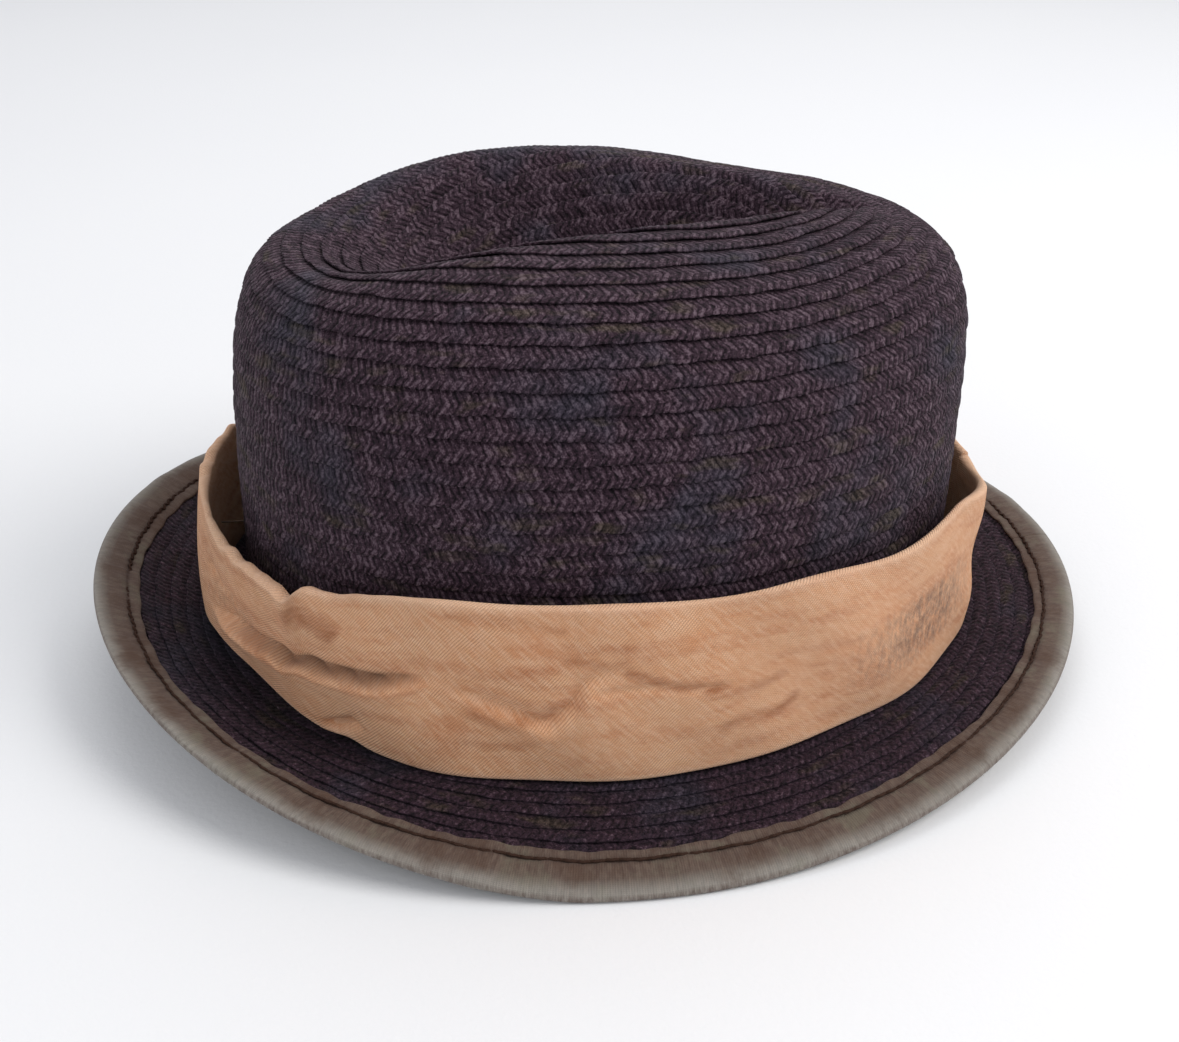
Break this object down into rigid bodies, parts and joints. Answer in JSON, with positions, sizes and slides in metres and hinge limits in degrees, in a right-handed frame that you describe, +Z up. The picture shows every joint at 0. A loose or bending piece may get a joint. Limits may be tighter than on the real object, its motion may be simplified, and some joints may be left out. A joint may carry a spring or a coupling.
{
  "type": "straw trilby hat",
  "caption": "Teardrop-crown trilby hat in dark sewn straw braid, with a folded twill band, a bound and stitched brim edge turned up at the back, and a fitted sweatband.",
  "frame": {"origin": "on the surface that the hat lies on, under the middle of the hat", "axes": "+X to the front of the hat, +Y to the wearer's left, +Z up through the crown"},
  "size_m": [0.2784, 0.24, 0.1261],
  "materials": {
    "straw": "matte plaited straw with a faint sheen on each strand",
    "straw_thread": "matte cotton thread",
    "binding_tape": "matte ribbed tape, worn along its fold",
    "binding_thread": "matte cotton thread",
    "wire": "drawn spring wire",
    "ferrule": "pressed tube",
    "band_twill": "washed and stained cotton twill",
    "band_thread": "matte cotton thread",
    "sweatband_twill": "soft cotton twill, a little shiny where it was worn",
    "sweatband_thread": "matte cotton thread",
    "woven_label": "blank damask woven label",
    "label_thread": "matte cotton thread",
    "care_label": "blank satin tape"
  },
  "bodies": {
    "root": {"crown_braid": "straw", "brim_braid": "straw", "head_seam_stitches": "straw_thread", "edge_binding": "binding_tape", "binding_thread_top": "binding_thread", "binding_thread_under": "binding_thread", "brim_edge_wire": "wire", "wire_ferrule": "ferrule", "hat_band": "band_twill", "band_tacks": "band_thread", "sweatband": "sweatband_twill", "sweatband_thread": "sweatband_thread", "woven_label": "woven_label", "woven_label_thread": "label_thread", "care_label": "care_label"}
  },
  "joints": []
}
